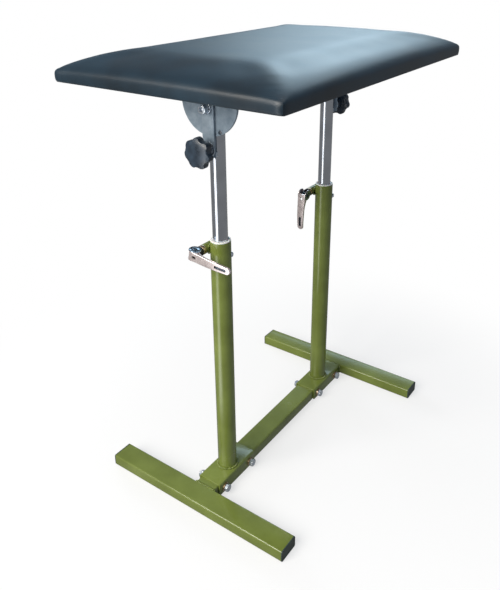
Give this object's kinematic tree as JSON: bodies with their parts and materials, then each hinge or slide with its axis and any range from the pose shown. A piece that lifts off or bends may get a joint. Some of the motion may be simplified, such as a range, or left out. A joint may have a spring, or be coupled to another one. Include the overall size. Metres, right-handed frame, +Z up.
{
  "type": "tattoo arm rest stand",
  "caption": "Padded arm rest for a salon or tattoo studio on two telescopic columns with cam clamps, a tilting cushion and a flat welded foot.",
  "frame": {"origin": "on the floor under the middle of the cushion, halfway between the two columns", "axes": "+Z up, +Y along the crossbar from the front column to the rear column, +X along the foot bars"},
  "size_m": [0.4, 0.586, 0.7715],
  "materials": {
    "green_enamel": "gloss",
    "polished_steel": "polished",
    "zinc_plate": "satin",
    "grey_plate": "mottled",
    "yellow_zinc": "satin",
    "lever_chrome": "polished",
    "black_plastic": "matte",
    "white_plastic": "matte",
    "knob_plastic": "gloss",
    "black_leather": "satin",
    "foam": "matte",
    "dust_cloth": "matte",
    "plywood": "raw"
  },
  "bodies": {
    "stand": {"front_foot_bar": "green_enamel", "rear_foot_bar": "green_enamel", "front_foot_stub": "green_enamel", "rear_foot_stub": "green_enamel", "foot_end_caps": "black_plastic", "crossbar": "green_enamel", "front_saddle": "green_enamel", "rear_saddle": "green_enamel", "front_upright_tube": "green_enamel", "rear_upright_tube": "green_enamel", "front_bush": "white_plastic", "rear_bush": "white_plastic", "bush_screws": "zinc_plate", "saddle_bolts": "zinc_plate", "saddle_washers": "zinc_plate", "saddle_nuts": "zinc_plate", "thrust_rings": "yellow_zinc"},
    "front_column": {"front_mast": "polished_steel", "front_guide_plug": "black_plastic", "front_cheek_plate": "grey_plate", "front_pivot_screw": "zinc_plate", "front_pivot_washers": "zinc_plate", "front_pivot_nut": "zinc_plate", "front_knob_insert": "zinc_plate", "front_knob_washer": "zinc_plate"},
    "front_knob": {"front_star_knob": "knob_plastic", "front_knob_screw": "zinc_plate"},
    "front_clamp": {"front_clamp_stud": "zinc_plate", "front_cam_barrel": "zinc_plate", "front_clamp_cup": "black_plastic", "front_stud_nut": "zinc_plate"},
    "front_lever": {"front_cam_lever": "lever_chrome"},
    "rear_column": {"rear_mast": "polished_steel", "rear_guide_plug": "black_plastic", "rear_cheek_plate": "grey_plate", "rear_pivot_screw": "zinc_plate", "rear_pivot_washers": "zinc_plate", "rear_pivot_nut": "zinc_plate", "rear_knob_insert": "zinc_plate", "rear_knob_washer": "zinc_plate"},
    "rear_knob": {"rear_star_knob": "knob_plastic", "rear_knob_screw": "zinc_plate"},
    "rear_clamp": {"rear_clamp_stud": "zinc_plate", "rear_cam_barrel": "zinc_plate", "rear_clamp_cup": "black_plastic", "rear_stud_nut": "zinc_plate"},
    "rear_lever": {"rear_cam_lever": "lever_chrome"},
    "pad": {"front_tilt_disc": "grey_plate", "rear_tilt_disc": "grey_plate", "flange_screws": "zinc_plate", "tee_nuts": "zinc_plate", "pad_board": "plywood", "pad_foam": "foam", "pad_cover": "black_leather", "pad_dust_cloth": "dust_cloth"}
  },
  "joints": [
    {"name": "front_height", "type": "slide", "parent": "stand", "child": "front_column", "axis": [0, 0, 1], "range_m": [-0.11, 0.1]},
    {"name": "rear_height", "type": "slide", "parent": "stand", "child": "rear_column", "axis": [0, 0, 1], "range_m": [-0.11, 0.1]},
    {"name": "pad_tilt", "type": "hinge", "parent": "front_column", "child": "pad", "pos_m": [0, -0.165, 0.6935], "axis": [0, 1, 0], "range_deg": [-60, 60]},
    {"name": "front_knob_turn", "type": "hinge", "parent": "front_column", "child": "front_knob", "pos_m": [0, -0.165, 0.6325], "axis": [0, 1, 0], "continuous": true},
    {"name": "front_clamp_turn", "type": "hinge", "parent": "stand", "child": "front_clamp", "pos_m": [-0.024, -0.165, 0.4615], "axis": [0, 1, 0], "range_deg": [-18, 162]},
    {"name": "front_lever_cam", "type": "hinge", "parent": "front_clamp", "child": "front_lever", "pos_m": [-0.024, -0.2014, 0.4615], "axis": [-0.1392, 0, -0.9903], "range_deg": [0, 110]},
    {"name": "rear_knob_turn", "type": "hinge", "parent": "rear_column", "child": "rear_knob", "pos_m": [0, 0.165, 0.6325], "axis": [0, 1, 0], "continuous": true},
    {"name": "rear_clamp_turn", "type": "hinge", "parent": "stand", "child": "rear_clamp", "pos_m": [-0.024, 0.165, 0.4615], "axis": [0, 1, 0], "range_deg": [-104, 76]},
    {"name": "rear_lever_cam", "type": "hinge", "parent": "rear_clamp", "child": "rear_lever", "pos_m": [-0.024, 0.1286, 0.4615], "axis": [-0.9976, 0, 0.0698], "range_deg": [0, 110]}
  ],
  "couplings": [
    {"joint": "rear_height", "follows": "front_height", "ratio": 1}
  ]
}
